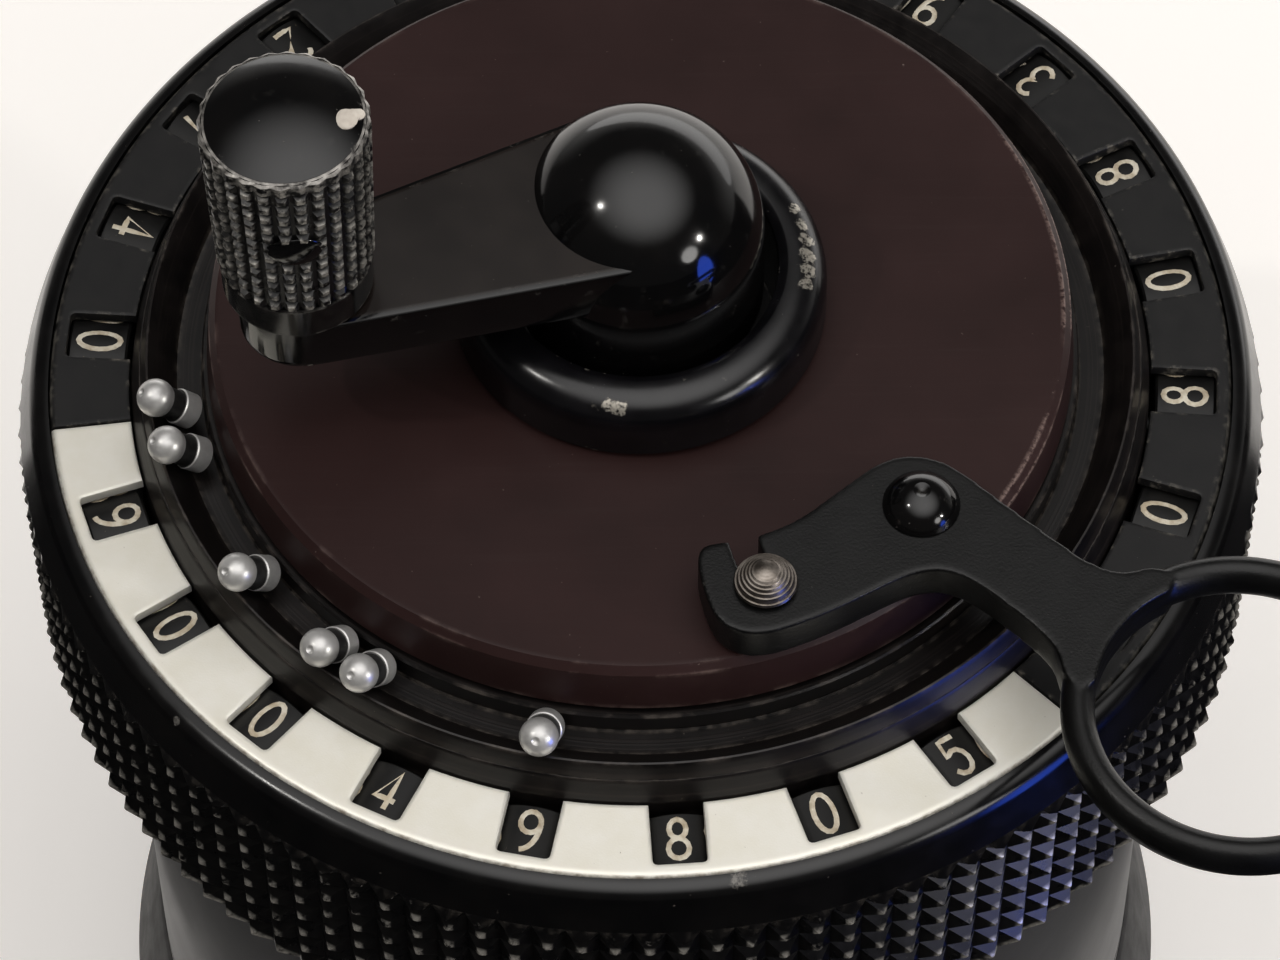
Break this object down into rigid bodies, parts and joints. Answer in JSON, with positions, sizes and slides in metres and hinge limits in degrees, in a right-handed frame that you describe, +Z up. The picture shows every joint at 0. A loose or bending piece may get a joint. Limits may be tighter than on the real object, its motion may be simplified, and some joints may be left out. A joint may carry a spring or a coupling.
{
  "type": "hand-cranked calculator",
  "caption": "Round hand-cranked pocket calculator with a knurled carriage of number dials, setting slides, a clearing lever with a finger ring and a crank that lifts and turns.",
  "frame": {"origin": "centre of the foot's flat underside, on the table and on the crank's axis", "axes": "+Z up along the crank's axis, -Y towards the middle of the light counter face, +X to the right of it"},
  "size_m": [0.077, 0.065, 0.09],
  "materials": {
    "case_grey": "satin",
    "black_gloss": "gloss",
    "black_matte": "matte",
    "frame_brass": "satin",
    "steel": "satin",
    "silver_face": "satin",
    "brown_plate": "satin",
    "marker_metal": "satin",
    "dial_black": "satin"
  },
  "bodies": {
    "case": {"body_shell": "case_grey", "base_cap": "black_matte", "base_screws": "steel", "mechanism_frame": "frame_brass", "setting_shafts": "steel", "transmission_shafts": "frame_brass"},
    "carriage_slide": {"carriage_sleeve": "black_gloss"},
    "carriage": {"knurled_ring": "black_gloss", "counter_face": "silver_face", "result_face": "black_matte", "marker_ring": "black_matte"},
    "clearing_disc": {"clearing_plate": "brown_plate", "lever_studs": "steel"},
    "clearing_arm": {"clearing_lever": "black_matte"},
    "crank_slide": {"lift_collar": "steel"},
    "crank": {"main_shaft": "steel", "step_drum": "frame_brass", "crank_arm": "black_gloss"},
    "crank_grip": {"crank_knob": "black_gloss"},
    "reverser": {"reversing_lever": "steel"},
    "setting_01": {"setting_knob_01": "black_gloss"},
    "setting_02": {"setting_knob_02": "black_gloss"},
    "setting_03": {"setting_knob_03": "black_gloss"},
    "setting_04": {"setting_knob_04": "black_gloss"},
    "setting_05": {"setting_knob_05": "black_gloss"},
    "setting_06": {"setting_knob_06": "black_gloss"},
    "setting_07": {"setting_knob_07": "black_gloss"},
    "setting_08": {"setting_knob_08": "black_gloss"},
    "setting_09": {"setting_knob_09": "black_gloss"},
    "setting_10": {"setting_knob_10": "black_gloss"},
    "setting_11": {"setting_knob_11": "black_gloss"},
    "marker_1": {"decimal_marker_1": "marker_metal"},
    "marker_2": {"decimal_marker_2": "marker_metal"},
    "marker_3": {"decimal_marker_3": "marker_metal"},
    "marker_4": {"decimal_marker_4": "marker_metal"},
    "marker_5": {"decimal_marker_5": "marker_metal"},
    "marker_6": {"decimal_marker_6": "marker_metal"},
    "counter_dial_1_wheel": {"counter_dial_1": "dial_black"},
    "counter_dial_2_wheel": {"counter_dial_2": "dial_black"},
    "counter_dial_3_wheel": {"counter_dial_3": "dial_black"},
    "counter_dial_4_wheel": {"counter_dial_4": "dial_black"},
    "counter_dial_5_wheel": {"counter_dial_5": "dial_black"},
    "counter_dial_6_wheel": {"counter_dial_6": "dial_black"},
    "counter_dial_7_wheel": {"counter_dial_7": "dial_black"},
    "counter_dial_8_wheel": {"counter_dial_8": "dial_black"},
    "result_dial_01_wheel": {"result_dial_01": "dial_black"},
    "result_dial_02_wheel": {"result_dial_02": "dial_black"},
    "result_dial_03_wheel": {"result_dial_03": "dial_black"},
    "result_dial_04_wheel": {"result_dial_04": "dial_black"},
    "result_dial_05_wheel": {"result_dial_05": "dial_black"},
    "result_dial_06_wheel": {"result_dial_06": "dial_black"},
    "result_dial_07_wheel": {"result_dial_07": "dial_black"},
    "result_dial_08_wheel": {"result_dial_08": "dial_black"},
    "result_dial_09_wheel": {"result_dial_09": "dial_black"},
    "result_dial_10_wheel": {"result_dial_10": "dial_black"},
    "result_dial_11_wheel": {"result_dial_11": "dial_black"},
    "result_dial_12_wheel": {"result_dial_12": "dial_black"},
    "result_dial_13_wheel": {"result_dial_13": "dial_black"},
    "result_dial_14_wheel": {"result_dial_14": "dial_black"},
    "result_dial_15_wheel": {"result_dial_15": "dial_black"}
  },
  "joints": [
    {"name": "carriage_lift", "type": "slide", "parent": "case", "child": "carriage_slide", "axis": [0, 0, 1], "range_m": [0, 0.0025]},
    {"name": "carriage_turn", "type": "hinge", "parent": "carriage_slide", "child": "carriage", "pos_m": [0, 0, 0.06], "axis": [0, 0, 1], "range_deg": [0, 105]},
    {"name": "clearing_lever_fold", "type": "hinge", "parent": "clearing_disc", "child": "clearing_arm", "pos_m": [0.01763, -0.00879, 0.0656], "axis": [0, 0, 1], "range_deg": [0, 105]},
    {"name": "clearing_sweep", "type": "hinge", "parent": "carriage", "child": "clearing_disc", "pos_m": [0, 0, 0.0653], "axis": [0, 0, -1], "continuous": true},
    {"name": "crank_knob_spin", "type": "hinge", "parent": "crank", "child": "crank_grip", "pos_m": [-0.01396, -0.01071, 0.0758], "axis": [0, 0, 1], "continuous": true},
    {"name": "crank_lift", "type": "slide", "parent": "case", "child": "crank_slide", "axis": [0, 0, 1], "range_m": [0, 0.006]},
    {"name": "crank_turn", "type": "hinge", "parent": "crank_slide", "child": "crank", "pos_m": [0, 0, 0.0755], "axis": [0, 0, -1], "continuous": true},
    {"name": "reverser_slide", "type": "slide", "parent": "case", "child": "reverser", "axis": [0, 0, -1], "range_m": [0, 0.006]},
    {"name": "setting_slide_01", "type": "slide", "parent": "case", "child": "setting_01", "axis": [0, 0, -1], "range_m": [0, 0.0198]},
    {"name": "setting_slide_02", "type": "slide", "parent": "case", "child": "setting_02", "axis": [0, 0, -1], "range_m": [0, 0.0198]},
    {"name": "setting_slide_03", "type": "slide", "parent": "case", "child": "setting_03", "axis": [0, 0, -1], "range_m": [0, 0.0198]},
    {"name": "setting_slide_04", "type": "slide", "parent": "case", "child": "setting_04", "axis": [0, 0, -1], "range_m": [0, 0.0198]},
    {"name": "setting_slide_05", "type": "slide", "parent": "case", "child": "setting_05", "axis": [0, 0, -1], "range_m": [0, 0.0198]},
    {"name": "setting_slide_06", "type": "slide", "parent": "case", "child": "setting_06", "axis": [0, 0, -1], "range_m": [0, 0.0198]},
    {"name": "setting_slide_07", "type": "slide", "parent": "case", "child": "setting_07", "axis": [0, 0, -1], "range_m": [0, 0.0198]},
    {"name": "setting_slide_08", "type": "slide", "parent": "case", "child": "setting_08", "axis": [0, 0, -1], "range_m": [0, 0.0198]},
    {"name": "setting_slide_09", "type": "slide", "parent": "case", "child": "setting_09", "axis": [0, 0, -1], "range_m": [0, 0.0198]},
    {"name": "setting_slide_10", "type": "slide", "parent": "case", "child": "setting_10", "axis": [0, 0, -1], "range_m": [0, 0.0198]},
    {"name": "setting_slide_11", "type": "slide", "parent": "case", "child": "setting_11", "axis": [0, 0, -1], "range_m": [0, 0.0198]},
    {"name": "marker_slide_1", "type": "hinge", "parent": "carriage", "child": "marker_1", "pos_m": [0, 0, 0.06], "axis": [0, 0, 1], "range_deg": [-286.2, 1.5]},
    {"name": "marker_slide_2", "type": "hinge", "parent": "carriage", "child": "marker_2", "pos_m": [0, 0, 0.06], "axis": [0, 0, 1], "range_deg": [-1.5, 14.4]},
    {"name": "marker_slide_3", "type": "hinge", "parent": "carriage", "child": "marker_3", "pos_m": [0, 0, 0.06], "axis": [0, 0, 1], "range_deg": [-14.4, 8.8]},
    {"name": "marker_slide_4", "type": "hinge", "parent": "carriage", "child": "marker_4", "pos_m": [0, 0, 0.06], "axis": [0, 0, 1], "range_deg": [-8.8, 0.4]},
    {"name": "marker_slide_5", "type": "hinge", "parent": "carriage", "child": "marker_5", "pos_m": [0, 0, 0.06], "axis": [0, 0, 1], "range_deg": [-0.4, 16.9]},
    {"name": "marker_slide_6", "type": "hinge", "parent": "carriage", "child": "marker_6", "pos_m": [0, 0, 0.06], "axis": [0, 0, 1], "range_deg": [-16.9, 286.2]},
    {"name": "dial_counter_1_turn", "type": "hinge", "parent": "carriage", "child": "counter_dial_1_wheel", "pos_m": [0.02221, -0.01705, 0.0564], "axis": [0.7934, -0.6088, 0], "continuous": true},
    {"name": "dial_counter_2_turn", "type": "hinge", "parent": "carriage", "child": "counter_dial_2_wheel", "pos_m": [0.01705, -0.02221, 0.0564], "axis": [0.6088, -0.7934, 0], "continuous": true},
    {"name": "dial_counter_3_turn", "type": "hinge", "parent": "carriage", "child": "counter_dial_3_wheel", "pos_m": [0.01072, -0.02587, 0.0564], "axis": [0.3827, -0.9239, 0], "continuous": true},
    {"name": "dial_counter_4_turn", "type": "hinge", "parent": "carriage", "child": "counter_dial_4_wheel", "pos_m": [0.00365, -0.02776, 0.0564], "axis": [0.1305, -0.9914, 0], "continuous": true},
    {"name": "dial_counter_5_turn", "type": "hinge", "parent": "carriage", "child": "counter_dial_5_wheel", "pos_m": [-0.00365, -0.02776, 0.0564], "axis": [-0.1305, -0.9914, 0], "continuous": true},
    {"name": "dial_counter_6_turn", "type": "hinge", "parent": "carriage", "child": "counter_dial_6_wheel", "pos_m": [-0.01072, -0.02587, 0.0564], "axis": [-0.3827, -0.9239, 0], "continuous": true},
    {"name": "dial_counter_7_turn", "type": "hinge", "parent": "carriage", "child": "counter_dial_7_wheel", "pos_m": [-0.01705, -0.02221, 0.0564], "axis": [-0.6088, -0.7934, 0], "continuous": true},
    {"name": "dial_counter_8_turn", "type": "hinge", "parent": "carriage", "child": "counter_dial_8_wheel", "pos_m": [-0.02221, -0.01705, 0.0564], "axis": [-0.7934, -0.6088, 0], "continuous": true},
    {"name": "dial_result_01_turn", "type": "hinge", "parent": "carriage", "child": "result_dial_01_wheel", "pos_m": [-0.02705, -0.00725, 0.0564], "axis": [-0.9659, -0.2588, 0], "continuous": true},
    {"name": "dial_result_02_turn", "type": "hinge", "parent": "carriage", "child": "result_dial_02_wheel", "pos_m": [-0.028, 0, 0.0564], "axis": [-1, 0, 0], "continuous": true},
    {"name": "dial_result_03_turn", "type": "hinge", "parent": "carriage", "child": "result_dial_03_wheel", "pos_m": [-0.02705, 0.00725, 0.0564], "axis": [-0.9659, 0.2588, 0], "continuous": true},
    {"name": "dial_result_04_turn", "type": "hinge", "parent": "carriage", "child": "result_dial_04_wheel", "pos_m": [-0.02425, 0.014, 0.0564], "axis": [-0.866, 0.5, 0], "continuous": true},
    {"name": "dial_result_05_turn", "type": "hinge", "parent": "carriage", "child": "result_dial_05_wheel", "pos_m": [-0.0198, 0.0198, 0.0564], "axis": [-0.7071, 0.7071, 0], "continuous": true},
    {"name": "dial_result_06_turn", "type": "hinge", "parent": "carriage", "child": "result_dial_06_wheel", "pos_m": [-0.014, 0.02425, 0.0564], "axis": [-0.5, 0.866, 0], "continuous": true},
    {"name": "dial_result_07_turn", "type": "hinge", "parent": "carriage", "child": "result_dial_07_wheel", "pos_m": [-0.00725, 0.02705, 0.0564], "axis": [-0.2588, 0.9659, 0], "continuous": true},
    {"name": "dial_result_08_turn", "type": "hinge", "parent": "carriage", "child": "result_dial_08_wheel", "pos_m": [0, 0.028, 0.0564], "axis": [0, 1, 0], "continuous": true},
    {"name": "dial_result_09_turn", "type": "hinge", "parent": "carriage", "child": "result_dial_09_wheel", "pos_m": [0.00725, 0.02705, 0.0564], "axis": [0.2588, 0.9659, 0], "continuous": true},
    {"name": "dial_result_10_turn", "type": "hinge", "parent": "carriage", "child": "result_dial_10_wheel", "pos_m": [0.014, 0.02425, 0.0564], "axis": [0.5, 0.866, 0], "continuous": true},
    {"name": "dial_result_11_turn", "type": "hinge", "parent": "carriage", "child": "result_dial_11_wheel", "pos_m": [0.0198, 0.0198, 0.0564], "axis": [0.7071, 0.7071, 0], "continuous": true},
    {"name": "dial_result_12_turn", "type": "hinge", "parent": "carriage", "child": "result_dial_12_wheel", "pos_m": [0.02425, 0.014, 0.0564], "axis": [0.866, 0.5, 0], "continuous": true},
    {"name": "dial_result_13_turn", "type": "hinge", "parent": "carriage", "child": "result_dial_13_wheel", "pos_m": [0.02705, 0.00725, 0.0564], "axis": [0.9659, 0.2588, 0], "continuous": true},
    {"name": "dial_result_14_turn", "type": "hinge", "parent": "carriage", "child": "result_dial_14_wheel", "pos_m": [0.028, 0, 0.0564], "axis": [1, 0, 0], "continuous": true},
    {"name": "dial_result_15_turn", "type": "hinge", "parent": "carriage", "child": "result_dial_15_wheel", "pos_m": [0.02705, -0.00725, 0.0564], "axis": [0.9659, -0.2588, 0], "continuous": true}
  ],
  "couplings": [
    {"joint": "dial_counter_1_turn", "follows": "crank_turn", "ratio": 0.1}
  ]
}
